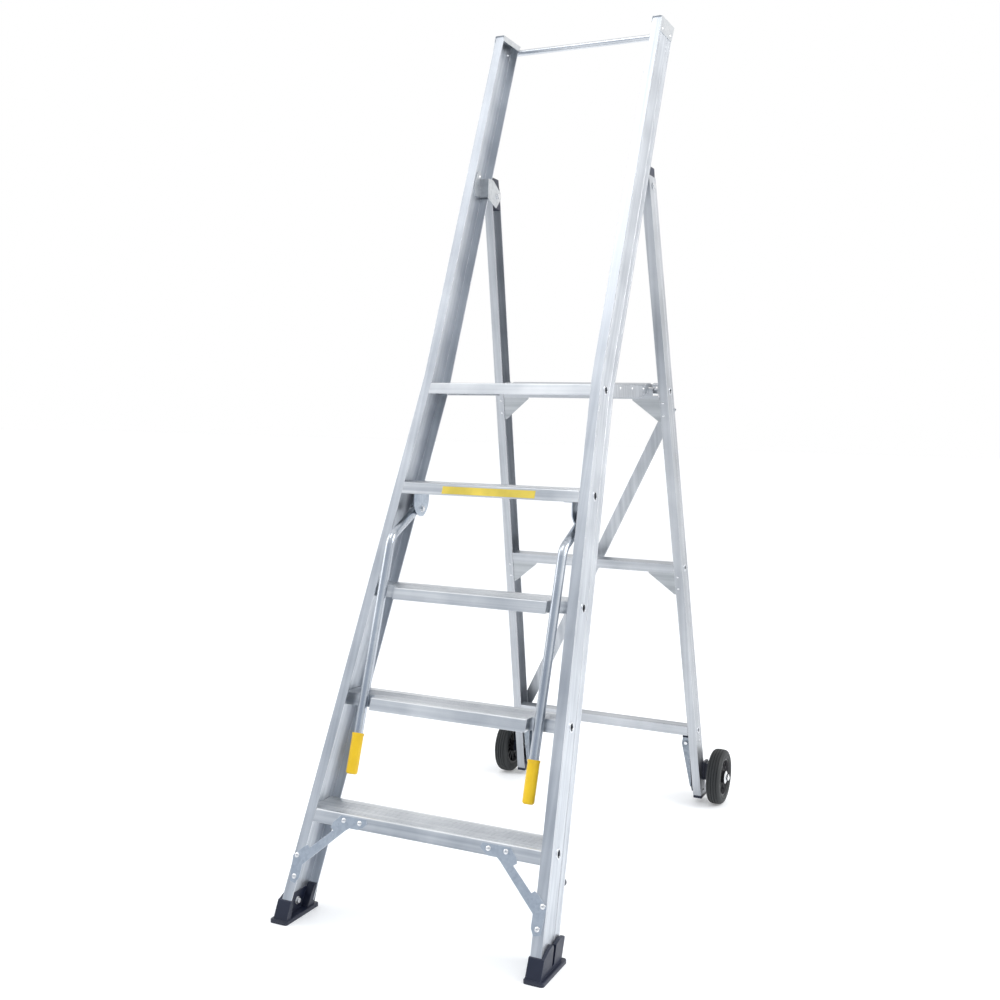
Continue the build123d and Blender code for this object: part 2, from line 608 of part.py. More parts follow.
AXLE_R = 6.0
with BuildPart() as leg:
    leg_band((0, LEG_SHEET), (0, LEG_DEPTH))
    leg_band((0, LEG_FLANGE), (0, LEG_SHEET))
    leg_band((0, LEG_FLANGE), (LEG_DEPTH - LEG_SHEET, LEG_DEPTH))
    leg_band((-1, 0.8), (40.0, 42.5), mode=Mode.SUBTRACT)
    split(bisect_by=Plane.XY.offset(LEG_BOTTOM_Z), keep=Keep.TOP)
    split(bisect_by=Plane.XY.offset(LEG_TOP_Z), keep=Keep.BOTTOM)
    split(bisect_by=stop_plane, keep=Keep.BOTTOM)
    for tube_y, tube_z in rail_tube_places():
        rod(tube_y, tube_z, STILE_TOP_HALF, LEG_FOOT_HALF + 20, LEG_TUBE_R, mode=Mode.SUBTRACT)
    rod(HINGE_Y, HINGE_Z, 240, 290, 6.0 + RUNNING_GAP, mode=Mode.SUBTRACT)
    rod(AXLE_Y, WHEEL_R, 310, 360, AXLE_R, mode=Mode.SUBTRACT)
save_pair(leg, "leg")

# ------------------------------------------------------------ tubes swaged through the legs
with BuildPart() as rail_tube_half:
    for tube_y, tube_z in rail_tube_places():
        outer = leg_web(tube_y, tube_z)
        web_out = Vector(1, -LEG_RUN * sin(radians(LEG_LEAN)), LEG_RUN * cos(radians(LEG_LEAN)))
        rod(tube_y, tube_z, 0, outer, LEG_TUBE_R)
        with BuildSketch(Plane(origin=(outer, tube_y, tube_z), x_dir=(0, 1, 0), z_dir=web_out)) as ring:
            Circle(LEG_RING_R)
        extrude(ring.sketch, amount=1.4, taper=30)
        rod(tube_y, tube_z, -1, outer + 5, LEG_TUBE_R - 2, mode=Mode.SUBTRACT)
save(both_sides(rail_tube_half), "rail_tubes")

# ------------------------------------------------------------ rails of the rear frame
RAIL_SHEET = 2.0
TOP_LIP = 26.0
LOW_LIP = 17.0
RAIL_SPANS = {"top_rail": (1390, 1435), "mid_rail": (824, 854), "bottom_rail": (248, 281)}
TONGUE_X = 240.5            # inner face of the platform's side plates
NOTCH_FLOOR_Z = 1424.0
WINDOW = (249.0, 266.0, 1401.0, 1429.0)


def build_rail(low, high, hooked):
    """A folded rail: face in line with the legs' front face, lips turned back over its tube."""
    half = leg_half(high) - LEG_FLANGE - 0.5
    foot, head = up_leg(low), up_leg(high)
    with BuildPart() as rail:
        slab(LEG_PLANE, [(0, foot), (half, foot), (half, head), (0, head)], -RAIL_SHEET)
        for edge_low, edge_high, lip in (
            (head - RAIL_SHEET, head, TOP_LIP),
            (foot, foot + RAIL_SHEET, LOW_LIP),
        ):
            slab(LEG_PLANE, [(0, edge_low), (half, edge_low), (half, edge_high), (0, edge_high)], -lip)
        if hooked:
            floor = up_leg(NOTCH_FLOOR_Z)
            near, far, low_edge, high_edge = WINDOW
            for start, stop, sill, crest, cut in (
                (TONGUE_X - 4, TONGUE_X + 7, floor, head + 5, TOP_LIP + 5),
                (near, far, up_leg(low_edge), up_leg(high_edge), RAIL_SHEET + 2),
            ):
                opening = [(start, sill), (stop, sill), (stop, crest), (start, crest)]
                slab(LEG_PLANE.offset(1), opening, -cut, mode=Mode.SUBTRACT)
        mirror(about=Plane.YZ)
    return rail


for rail_name, (rail_low, rail_high) in RAIL_SPANS.items():
    save(build_rail(rail_low, rail_high, rail_name == "top_rail"), rail_name)

# ------------------------------------------------------------ gussets in the rear frame's upper corners
GUSSET_SHEET = 1.5
GUSSET_REACH = 88.0
GUSSET_DROP = 73.0


def build_gusset(low, high):
    """A corner plate behind a leg's flange, with a lip folded back under the rail."""
    inner = leg_half(high) - LEG_FLANGE
    outer = leg_half(high) - 4
    tip = inner - GUSSET_REACH
    crest = up_leg(low) - 0.3
    foot = up_leg(low - GUSSET_DROP)
    back = LEG_PLANE.offset(-LEG_SHEET)
    with BuildPart() as gusset:
        face = [(tip, crest), (tip, crest - 5), (inner - 2, foot), (outer, foot), (outer, crest)]
        slab(back, face, -GUSSET_SHEET)
        lip_low = crest - GUSSET_SHEET
        lip = [(tip, lip_low), (inner - 2, lip_low), (inner - 2, crest), (tip, crest)]
        slab(back, lip, LEG_SHEET - LOW_LIP)
    return gusset


def gusset_rivet_places(low, high):
    """Where (x, z) a gusset is riveted through the front of the leg."""
    inner = leg_half(high) - LEG_FLANGE
    return [(inner + 12, low - 52), (inner + 12, low - 12)]


save_pair(build_gusset(*RAIL_SPANS["top_rail"]), "upper_gusset")
save_pair(build_gusset(*RAIL_SPANS["mid_rail"]), "middle_gusset")

# ------------------------------------------------------------ diagonal brace behind the rear frame
BRACE_LOW = (-327.0, 258.0)
BRACE_HIGH = (289.0, 1369.0)
BRACE_WIDTH = 36.0
BRACE_LIP = 12.0
BRACE_SHEET = 2.0
BRACE_LAP = 40.0            # flat end that laps the leg
rear_offset = LEG_DEPTH * sin(radians(LEG_LEAN))
low_corner = LEG_PLANE.from_local_coords((BRACE_LOW[0], up_leg(BRACE_LOW[1] - rear_offset), -LEG_DEPTH))
high_corner = LEG_PLANE.from_local_coords((BRACE_HIGH[0], up_leg(BRACE_HIGH[1] - rear_offset), -LEG_DEPTH))
brace_run = high_corner - low_corner
brace_length = brace_run.length
brace_plane = Plane(origin=low_corner, x_dir=brace_run, z_dir=LEG_PLANE.z_dir * -1)
half_width = BRACE_WIDTH / 2
BRACE_STRIPS = [
    (0, -half_width, half_width, BRACE_SHEET),
    (BRACE_LAP, -half_width, -half_width + BRACE_SHEET, BRACE_LIP),
    (BRACE_LAP, half_width - BRACE_SHEET, half_width, BRACE_LIP),
]
with BuildPart() as diagonal_brace:
    for inset, near, far, depth in BRACE_STRIPS:
        end = brace_length - inset
        slab(brace_plane, [(inset, near), (end, near), (end, far), (inset, far)], depth)
save(diagonal_brace, "diagonal_brace")

# ------------------------------------------------------------ moulded plugs at the legs' ends
plug_skin = LEG_SHEET + 0.2
with BuildPart() as leg_plug:
    leg_band((plug_skin, LEG_FLANGE), (plug_skin, LEG_DEPTH - plug_skin))
    split(bisect_by=Plane.XY.offset(LEG_TOP_Z), keep=Keep.BOTTOM)
    leg_crown = LEG_TOP_Z + 28
    with BuildSketch(Plane.XY.offset(LEG_TOP_Z)) as crown:
        with Locations((STILE_TOP_HALF - LEG_FLANGE / 2 - 1.5, leg_front(LEG_TOP_Z) + 32)):
            RectangleRounded(LEG_FLANGE - 1, 62, 5)
    extrude(crown.sketch, amount=leg_crown - LEG_TOP_Z, dir=LEG_PLANE.y_dir)
    split(bisect_by=Plane.XY.offset(1985), keep=Keep.TOP)
    split(bisect_by=stop_plane.offset(-0.5), keep=Keep.BOTTOM)
    fillet(leg_plug.edges().group_by(Axis.Z)[-1], 2.0)
    rod(HINGE_Y, HINGE_Z, 235, 290, 6.0 + RUNNING_GAP, mode=Mode.SUBTRACT)
save_pair(leg_plug, "leg_top_plug")

LEG_SHOE_Z = 16.5
with BuildPart() as leg_shoe:
    leg_band((plug_skin, LEG_FLANGE), (plug_skin, LEG_DEPTH - plug_skin))
    split(bisect_by=Plane.XY.offset(64), keep=Keep.BOTTOM)
    split(bisect_by=Plane.XY.offset(LEG_BOTTOM_Z - 1), keep=Keep.TOP)
    shoe_mid = leg_front(20) + LEG_DEPTH / cos(radians(LEG_LEAN)) / 2
    with BuildSketch(Plane.XY.offset(LEG_SHOE_Z)) as shoe_sole:
        with Locations((leg_half(20) - LEG_FLANGE / 2, shoe_mid + 1)):
            RectangleRounded(LEG_FLANGE + 2, LEG_DEPTH + 6, 4)
    extrude(shoe_sole.sketch, amount=LEG_BOTTOM_Z - LEG_SHOE_Z)
    rod(AXLE_Y, WHEEL_R, 310, 360, AXLE_R + 1, mode=Mode.SUBTRACT)
save(both_sides(leg_shoe), "leg_foot_plugs")

# ------------------------------------------------------------ folded stays inside the legs' lower ends
STAY_SHEET = 2.5
stay_outer = leg_half(130) - LEG_FLANGE - 4
with BuildPart() as axle_stay:
    wall = [
        (leg_front(236) + 8, 236), (leg_front(236) + 50, 236),
        (leg_front(60) + 56, 60), (leg_front(34) + 40, 34), (leg_front(34) + 20, 34), (leg_front(60) + 8, 60),
    ]
    side_slab(wall, stay_outer - STAY_SHEET, stay_outer)
    for low_depth, high_depth in ((8.0, 8.0 + STAY_SHEET), (42.0, 42.0 + STAY_SHEET)):
        wing = [
            (stay_outer - 27, up_leg(214)), (stay_outer - 22, up_leg(236)), (stay_outer, up_leg(236)),
            (stay_outer, up_leg(52)), (stay_outer - 5, up_leg(52)),
        ]
        slab(LEG_PLANE.offset(-low_depth), wing, low_depth - high_depth)
    rod(AXLE_Y, WHEEL_R, 280, 330, AXLE_R, mode=Mode.SUBTRACT)
save_pair(axle_stay, "axle_stay")

with BuildPart() as stay_block:
    slab(LEG_PLANE.offset(-12), [
        (stay_outer - 24, up_leg(226)), (stay_outer - STAY_SHEET - 0.2, up_leg(226)),
        (stay_outer - STAY_SHEET - 0.2, up_leg(247.5)), (stay_outer - 24, up_leg(247.5)),
    ], -30)
save(both_sides(stay_block), "stay_blocks")

# ------------------------------------------------------------ rivets of the rear frame
with BuildPart() as frame_rivets:
    for rail_name in ("top_rail", "mid_rail"):
        for rivet_x, rivet_z in gusset_rivet_places(*RAIL_SPANS[rail_name]):
            rivet(on_leg(rivet_x, rivet_z, 0), 0, head=4.0, rise=1.6)
    for plug_z in (42.0, 227.0):
        plug_y = leg_front(plug_z) + 32
        rivet(facing_x(leg_web(plug_y, plug_z) + 0.2, plug_y, plug_z), 0, head=4.5)
    with BuildSketch(on_leg(stay_outer - 12, 217, 8)) as stay_bolt:
        RegularPolygon(6.5, 6)
    extrude(stay_bolt.sketch, amount=5)
both_frame_rivets = both_sides(frame_rivets)
with BuildPart() as rear_frame_rivets:
    add(both_frame_rivets.part)
    for along in (14.0, 30.0, brace_length - 30.0, brace_length - 14.0):
        spot = brace_plane.from_local_coords((along, 0, 2))
        rivet(Plane(origin=spot, x_dir=brace_run, z_dir=brace_plane.z_dir), 0, head=5.5)
save(rear_frame_rivets, "rear_frame_rivets")

# ------------------------------------------------------------ wheel axles and their spacers
wheel_inner = WHEEL_X - WHEEL_WIDTH / 2
wheel_outer = WHEEL_X + WHEEL_WIDTH / 2
spacer_start = leg_web(AXLE_Y, WHEEL_R) - 1.2
SPACER_LOW_Z = 84.0         # the moulded block stands mostly above its axle
SPACER_HIGH_Z = 138.0
with BuildPart() as wheel_spacer:
    rod(AXLE_Y, WHEEL_R, spacer_start, wheel_inner - 0.6, 19.0)
    block((spacer_start, wheel_inner - 2.5), (AXLE_Y - 19, AXLE_Y + 19), (SPACER_LOW_Z, SPACER_HIGH_Z))
    block((spacer_start, spacer_start + 9), (AXLE_Y - 22, AXLE_Y + 22), (SPACER_LOW_Z, SPACER_HIGH_Z + 4))
    add(leg.part, mode=Mode.SUBTRACT)
    rod(AXLE_Y, WHEEL_R, 330, 400, AXLE_R, mode=Mode.SUBTRACT)
save(both_sides(wheel_spacer), "wheel_spacers")

with BuildPart() as axle:
    rod(AXLE_Y, WHEEL_R, stay_outer - STAY_SHEET, wheel_outer + 1.2, AXLE_R)
    with BuildSketch(facing_x(stay_outer - STAY_SHEET, AXLE_Y, WHEEL_R, -1)) as axle_head:
        RegularPolygon(9.5, 6)
    extrude(axle_head.sketch, amount=7)
    rivet(facing_x(wheel_outer + 0.8, AXLE_Y, WHEEL_R), 0, shank=6, head=22, rise=5.0)
    with BuildSketch(facing_x(wheel_outer + 1.5, AXLE_Y, WHEEL_R)) as cap_nut:
        RegularPolygon(12.0, 6)
    extrude(cap_nut.sketch, amount=9)
    rivet(facing_x(wheel_outer + 10.5, AXLE_Y, WHEEL_R), 0, head=9.0, rise=4.0)
save_pair(axle, "axle")

# ------------------------------------------------------------ wheels
RIM_R = 63.0
HUB_BOSS_R = 21.0
SPOKES = 12
wheel_plane = Plane(origin=(WHEEL_X, AXLE_Y, WHEEL_R), x_dir=(1, 0, 0), z_dir=(0, -1, 0))
wheel_axis = Axis((WHEEL_X, AXLE_Y, WHEEL_R), (1, 0, 0))
with BuildPart() as tyre:
    with BuildSketch(wheel_plane) as tyre_section:
        with BuildLine():
            Polyline((-24, 78), (-24, 69), (-21, RIM_R), (21, RIM_R), (24, 69), (24, 78))
            ThreePointArc((24, 78), (21.5, 88), (14, 93))
            ThreePointArc((14, 93), (0, WHEEL_R), (-14, 93))
            ThreePointArc((-14, 93), (-21.5, 88), (-24, 78))
        make_face()
        for groove_x in (-13.5, -4.5, 4.5, 13.5):
            with Locations((groove_x, WHEEL_R)):
                Rectangle(2.4, 7.0, mode=Mode.SUBTRACT)
        for side_x in (-24, 24):
            with Locations((side_x, 74)):
                Rectangle(2.4, 1.6, mode=Mode.SUBTRACT)
    revolve(tyre_section.sketch, axis=wheel_axis)
save_pair(tyre, "tyre")

with BuildPart() as hub:
    with BuildSketch(wheel_plane) as hub_section:
        with BuildLine():
            Polyline(
                (-20, RIM_R), (-20, RIM_R - 4), (-5, RIM_R - 8),
                (5, RIM_R - 8), (20, RIM_R - 4), (20, RIM_R),
                close=True,
            )
        make_face()
        with BuildLine():
            Polyline((-4, RIM_R - 7), (-4, HUB_BOSS_R - 1), (4, HUB_BOSS_R - 1), (4, RIM_R - 7), close=True)
        make_face()
    revolve(hub_section.sketch, axis=wheel_axis)
    with BuildSketch(facing_x(WHEEL_X - 13, AXLE_Y, WHEEL_R)) as spokes:
        with PolarLocations((HUB_BOSS_R + RIM_R - 6) / 2, SPOKES):
            Rectangle(RIM_R - 4 - HUB_BOSS_R, 3.2)
    extrude(spokes.sketch, amount=26)
    rod(AXLE_Y, WHEEL_R, wheel_inner, wheel_outer, HUB_BOSS_R)
    rod(AXLE_Y, WHEEL_R, WHEEL_X - 30, WHEEL_X + 30, AXLE_R + RUNNING_GAP, mode=Mode.SUBTRACT)
save_pair(hub, "wheel_hub")

# ------------------------------------------------------------ platform
DECK_FRONT_Y = -148.0       # front edge of the first plank
PLANKS = 4
PLANK_PITCH = 107.0
PLANK_DEPTH = 105.0
PLANK_HEIGHT = 24.0
TONGUE_FLOOR_Z = 1426.6
DECK_SIDE = Plane(
    origin=(0, DECK_FRONT_Y - 12, DECK_Z),
    x_dir=(0, cos(radians(DECK_PITCH)), sin(radians(DECK_PITCH))),
    z_dir=(1, 0, 0),
)


def deck_height(y):
    """Height of the platform's walking face."""
    return DECK_Z + (y - DECK_FRONT_Y + 12) * tan(radians(DECK_PITCH))


PLATE_REAR_Y = 262.0
TONGUE_END_Y = 352.0
with BuildPart() as platform_side:
    side_slab([
        (PIVOT_Y + 2, deck_height(PIVOT_Y) + 2),
        (PLATE_REAR_Y - 20, deck_height(PLATE_REAR_Y) + 2),
        (PLATE_REAR_Y, TONGUE_FLOOR_Z + 11),
        (TONGUE_END_Y, TONGUE_FLOOR_Z + 11),
        (TONGUE_END_Y, TONGUE_FLOOR_Z - 14),
        (TONGUE_END_Y - 7, TONGUE_FLOOR_Z - 14),
        (TONGUE_END_Y - 10, TONGUE_FLOOR_Z),
        (PLATE_REAR_Y, TONGUE_FLOOR_Z),
        (PLATE_REAR_Y - 50, deck_height(PLATE_REAR_Y) - 36),
        (PIVOT_Y, PIVOT_Z - 17),
    ], TONGUE_X, TONGUE_X + PLATE)
    rod(PIVOT_Y, PIVOT_Z, TONGUE_X, TONGUE_X + PLATE, 17.0)
    rod(PIVOT_Y, PIVOT_Z, TONGUE_X - 1, TONGUE_X + PLATE + 1, 5.0 + RUNNING_GAP, mode=Mode.SUBTRACT)
save_pair(platform_side, "platform_side")

with BuildPart() as platform_planks:
    with BuildSketch(DECK_SIDE.offset(-TONGUE_X + 0.3)) as planks:
        for number in range(PLANKS):
            start = 12 + number * PLANK_PITCH
            with BuildLine():
                Polyline(
                    (start, 0), (start + PLANK_DEPTH, 0), (start + PLANK_DEPTH, -PLANK_HEIGHT),
                    (start + PLANK_DEPTH - 10, -PLANK_HEIGHT), (start + PLANK_DEPTH - 10, -PLANK_HEIGHT + 2),
                    (start + PLANK_DEPTH - 2, -PLANK_HEIGHT + 2), (start + PLANK_DEPTH - 2, -DECK_SHEET),
                    (start + 2, -DECK_SHEET), (start + 2, -PLANK_HEIGHT + 2),
                    (start + 10, -PLANK_HEIGHT + 2), (start + 10, -PLANK_HEIGHT), (start, -PLANK_HEIGHT),
                    close=True,
                )
            make_face()
            with Locations([(start + 8 + RIB_PITCH * i, 0) for i in range(11)]):
                Rectangle(GROOVE_WIDTH, 2 * GROOVE_FLOOR, mode=Mode.SUBTRACT)
    extrude(planks.sketch, amount=2 * TONGUE_X - 0.6)
save(platform_planks, "platform_planks")

with BuildPart() as platform_rivet:
    for number in range(PLANKS):
        rivet_y = DECK_FRONT_Y + (number + 0.5) * PLANK_PITCH
        rivet(facing_x(TONGUE_X + PLATE, rivet_y, deck_height(rivet_y) - 8), 0, head=4.5, rise=1.9)
save(both_sides(platform_rivet), "platform_rivets")

pivot_web = stile_web(PIVOT_Y, PIVOT_Z) - STILE_SHEET + 0.5
with BuildPart() as platform_pivot:
    rod(PIVOT_Y, PIVOT_Z, TONGUE_X + 0.2, pivot_web, 5.0)
    rod(PIVOT_Y, PIVOT_Z, TONGUE_X + PLATE + 0.5, pivot_web, 9.0)
    add(stile.part, mode=Mode.SUBTRACT)
save(both_sides(platform_pivot), "platform_pivot_bolts")
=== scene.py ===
from math import cos, radians, sin

import bpy
from mathutils import Matrix, Vector

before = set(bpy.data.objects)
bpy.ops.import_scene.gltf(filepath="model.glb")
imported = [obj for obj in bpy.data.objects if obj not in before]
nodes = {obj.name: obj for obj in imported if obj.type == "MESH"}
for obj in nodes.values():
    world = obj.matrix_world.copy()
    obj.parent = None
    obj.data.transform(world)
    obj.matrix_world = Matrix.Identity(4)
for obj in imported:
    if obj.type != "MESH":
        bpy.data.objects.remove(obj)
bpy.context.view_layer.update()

# ---------------------------------------------------------------- climbing stiles
# Two drawn aluminium channels, bent once at platform height, with press lines along the web.
# The surface is mill finish: fine draw lines run up the length, and handling has dulled it in patches.
STILE_LEAN = radians(21.62)
MILL_GREY = (0.47, 0.50, 0.545, 1)
MILL_BRIGHT = (0.66, 0.69, 0.73, 1)
# The pale edge colour: partly rubbed wear, partly painted highlight.
RUBBED_AND_HIGHLIT_EDGE = (0.86, 0.87, 0.89, 1)
EDGE_RADIUS = 0.0012        # m
FINE_LINES = 520.0          # draw lines and broader bands, per metre across the grain
BROAD_BANDS = 90.0
LINE_STRETCH = 520.0 / 3.0  # how much longer than wide they are
BAND_STRETCH = 100.0


def new_finish(name):
    """A blank node material: its tree, its shader and the object's own coordinates."""
    finish = bpy.data.materials.new(name)
    finish.use_nodes = True
    tree = finish.node_tree
    shader = tree.nodes["Principled BSDF"]
    place = tree.nodes.new("ShaderNodeTexCoord").outputs["Object"]
    return finish, tree, shader, place


def node(tree, kind, inputs, **settings):
    """Adds a node; each input is a plain value, or the output that feeds it."""
    made = tree.nodes.new("ShaderNode" + kind)
    for key, value in settings.items():
        setattr(made, key, value)
    for key, value in inputs.items():
        if isinstance(value, bpy.types.NodeSocket):
            tree.links.new(value, made.inputs[key])
        else:
            made.inputs[key].default_value = value
    return made


def ramp(tree, factor, *stops):
    """A colour ramp through (position, grey or colour) stops."""
    made = tree.nodes.new("ShaderNodeValToRGB")
    tree.links.new(factor, made.inputs["Fac"])
    bands = made.color_ramp.elements
    while len(bands) < len(stops):
        bands.new(0.5)
    for band, (position, colour) in zip(bands, stops):
        band.position = position
        band.color = colour if isinstance(colour, tuple) else (colour, colour, colour, 1)
    return made.outputs["Color"]


def worn_and_highlit_edges(tree, radius):
    """White where the surface turns a corner, from the difference between true and rounded normals:
    partly rubbed wear, partly painted highlight.
    """
    rounded = node(tree, "Bevel", {"Radius": radius}, samples=4).outputs["Normal"]
    flat = tree.nodes.new("ShaderNodeNewGeometry").outputs["Normal"]
    likeness = node(tree, "VectorMath", {0: rounded, 1: flat}, operation="DOT_PRODUCT").outputs["Value"]
    return rounded, ramp(tree, likeness, (0.80, 1.0), (0.985, 0.0))


def drawn_metal(name, dark, bright, turn, along, roughness, relief=0.06):
    """Metal with draw lines: turn lays the grain's axis, along picks the axis that the lines follow."""
    finish, tree, shader, place = new_finish(name)
    laid = node(tree, "Mapping", {"Vector": place, "Rotation": (turn, 0, 0)}).outputs["Vector"]
    fine = [FINE_LINES] * 3
    coarse = [BROAD_BANDS] * 3
    fine[along] = FINE_LINES / LINE_STRETCH
    coarse[along] = BROAD_BANDS / BAND_STRETCH
    lines_at = node(tree, "Mapping", {"Vector": laid, "Scale": fine}).outputs["Vector"]
    bands_at = node(tree, "Mapping", {"Vector": laid, "Scale": coarse}).outputs["Vector"]
    lines = node(tree, "TexNoise", {"Vector": lines_at, "Scale": 1.0, "Detail": 4.0}).outputs["Fac"]
    bands = node(tree, "TexNoise", {"Vector": bands_at, "Scale": 1.0, "Detail": 3.0}).outputs["Fac"]
    clouds = node(tree, "TexNoise", {"Vector": place, "Scale": 7.0, "Detail": 5.0}).outputs["Fac"]
    blend = node(tree, "Mix", {0: 0.45, 2: bands, 3: clouds}, data_type="FLOAT").outputs[0]
    tone = ramp(tree, blend, (0.36, dark), (0.64, bright))
    # Every edge is lightened towards the pale edge colour: partly rubbed wear, partly painted highlight.
    rounded, edges = worn_and_highlit_edges(tree, EDGE_RADIUS)
    shine = node(tree, "Mix", {0: edges, 6: tone, 7: RUBBED_AND_HIGHLIT_EDGE}, data_type="RGBA").outputs[2]
    tree.links.new(shine, shader.inputs["Base Color"])
    scatter = node(tree, "Mix", {0: 0.5, 2: lines, 3: clouds}, data_type="FLOAT").outputs[0]
    rough = ramp(tree, scatter, (0.30, roughness - 0.07), (0.70, roughness + 0.09))
    tree.links.new(rough, shader.inputs["Roughness"])
    depth = {"Height": lines, "Normal": rounded, "Strength": relief, "Distance": 0.0006}
    tree.links.new(node(tree, "Bump", depth).outputs["Normal"], shader.inputs["Normal"])
    shader.inputs["Metallic"].default_value = 1.0
    return finish


def coat(finish, *names):
    """Gives CAD nodes a finish, and leaves their shape alone."""
    for name in names:
        piece = nodes[name]
        if not piece.material_slots:
            piece.data.materials.append(finish)
        for slot in piece.material_slots:
            slot.material = finish


stile_metal = drawn_metal("drawn_stile_aluminium", MILL_GREY, MILL_BRIGHT, STILE_LEAN, 2, 0.40)
coat(stile_metal, "stile_left", "stile_right")

# ---------------------------------------------------------------- rear legs, rails and corner plates
# The folding rear frame: two lighter channels joined by three folded rails, four riveted corner
# plates and one diagonal channel. Same aluminium, with its grain along each piece.
LEG_LEAN = radians(-15.325)
LEG_GREY = (0.39, 0.41, 0.44, 1)
LEG_BRIGHT = (0.56, 0.58, 0.61, 1)
leg_metal = drawn_metal("drawn_leg_aluminium", LEG_GREY, LEG_BRIGHT, LEG_LEAN, 2, 0.42)
coat(leg_metal, "leg_left", "leg_right")
RAIL_GREY = (0.40, 0.42, 0.45, 1)
RAIL_BRIGHT = (0.58, 0.60, 0.63, 1)
rail_metal = drawn_metal("folded_rail_aluminium", RAIL_GREY, RAIL_BRIGHT, LEG_LEAN, 0, 0.40)
coat(rail_metal, "top_rail", "mid_rail", "bottom_rail")
PLATE_GREY = (0.36, 0.38, 0.40, 1)
PLATE_BRIGHT = (0.52, 0.54, 0.56, 1)
plate_metal = drawn_metal("pressed_plate_aluminium", PLATE_GREY, PLATE_BRIGHT, 0.4, 0, 0.46)
coat(plate_metal, "upper_gusset_left", "upper_gusset_right", "middle_gusset_left", "middle_gusset_right")
coat(leg_metal, "diagonal_brace")

# ---------------------------------------------------------------- treads, nosing and platform
# Extruded aluminium, ribbed for grip, sawn to length and held by the tube that runs under each one.
TREAD_GREY = (0.50, 0.53, 0.57, 1)
TREAD_BRIGHT = (0.80, 0.82, 0.84, 1)
tread_metal = drawn_metal("ribbed_tread_aluminium", TREAD_GREY, TREAD_BRIGHT, 0, 0, 0.34, 0.10)
coat(tread_metal, "tread_1", "tread_2", "tread_3", "tread_4", "platform_nosing", "platform_planks")
coat(leg_metal, "platform_side_left", "platform_side_right")

# ---------------------------------------------------------------- tubes
# Drawn aluminium tube: the ones under the treads and rails are swaged over at both ends, the top
# one is a grab bar, and the bent ones are the lifting handles.
TUBE_BRIGHT = (0.76, 0.78, 0.81, 1)
tube_metal = drawn_metal("cross_tube_aluminium", TREAD_GREY, TUBE_BRIGHT, 0, 0, 0.30, 0.05)
coat(tube_metal, "tread_tubes", "rail_tubes", "top_bar")
HANDLE_LEAN = radians(17)
HANDLE_GREY = (0.42, 0.455, 0.51, 1)
HANDLE_BRIGHT = (0.66, 0.70, 0.75, 1)
handle_metal = drawn_metal("handle_tube_aluminium", HANDLE_GREY, HANDLE_BRIGHT, HANDLE_LEAN, 2, 0.22)
coat(handle_metal, "handle_tube_left", "handle_tube_right")

# ---------------------------------------------------------------- galvanised brackets and braces
# Folded steel plate, cut, pressed and dipped in zinc: a blue-grey skin with faint crystal spangle,
# duller than the aluminium beside it.
def zinc_dipped(name, dark, bright, roughness):
    """Galvanised steel: flat crystals in slightly different greys, with a cloudy bloom over them."""
    finish, tree, shader, place = new_finish(name)
    crystals = node(tree, "TexVoronoi", {"Vector": place, "Scale": 150.0}).outputs["Color"]
    facet = node(tree, "SeparateColor", {"Color": crystals}).outputs[0]
    bloom = node(tree, "TexNoise", {"Vector": place, "Scale": 22.0, "Detail": 6.0}).outputs["Fac"]
    blend = node(tree, "Mix", {0: 0.84, 2: facet, 3: bloom}, data_type="FLOAT").outputs[0]
    tone = ramp(tree, blend, (0.32, dark), (0.70, bright))
    # Every edge is lightened towards pale zinc: partly rubbed wear, partly painted highlight.
    rounded, edges = worn_and_highlit_edges(tree, 0.001)
    shine = node(tree, "Mix", {0: edges, 6: tone, 7: (0.88, 0.90, 0.93, 1)}, data_type="RGBA").outputs[2]
    tree.links.new(shine, shader.inputs["Base Color"])
    rough = ramp(tree, blend, (0.25, roughness + 0.10), (0.75, roughness - 0.08))
    tree.links.new(rough, shader.inputs["Roughness"])
    grain = node(tree, "TexNoise", {"Vector": place, "Scale": 420.0, "Detail": 3.0}).outputs["Fac"]
    depth = {"Height": grain, "Normal": rounded, "Strength": 0.10, "Distance": 0.0004}
    tree.links.new(node(tree, "Bump", depth).outputs["Normal"], shader.inputs["Normal"])
    shader.inputs["Metallic"].default_value = 1.0
    return finish


bracket_zinc = zinc_dipped("galvanised_bracket", (0.40, 0.455, 0.53, 1), (0.58, 0.635, 0.70, 1), 0.44)
coat(bracket_zinc, "knee_brace_left", "knee_brace_right", "handle_bracket_left", "handle_bracket_right")
cap_zinc = zinc_dipped("galvanised_cap", (0.50, 0.52, 0.54, 1), (0.68, 0.70, 0.72, 1), 0.40)
coat(cap_zinc, "top_cap_left", "top_cap_right", "hinge_bracket_left", "hinge_bracket_right")
# The stays get far darker zinc than the brackets: painted shade for the shadow they hang in beside the
# wheels.
stay_zinc_painted_shade = zinc_dipped("galvanised_stay_painted_shade", (0.22, 0.25, 0.29, 1), (0.36, 0.40, 0.45, 1), 0.50)
coat(stay_zinc_painted_shade, "axle_stay_left", "axle_stay_right")

# ---------------------------------------------------------------- bolts, screws and rivets
# Zinc-plated steel hardware: bright, a little warmer than the plate, smooth from the header.
fastener_zinc = zinc_dipped("bright_zinc_fastener", (0.66, 0.67, 0.69, 1), (0.84, 0.85, 0.86, 1), 0.26)
coat(fastener_zinc, "knee_brace_screws", "stile_rivets", "rear_frame_rivets", "platform_rivets")
coat(fastener_zinc, "foot_bolts", "hinge_bolts", "handle_pivot_bolts", "platform_pivot_bolts")
coat(fastener_zinc, "axle_left", "axle_right")
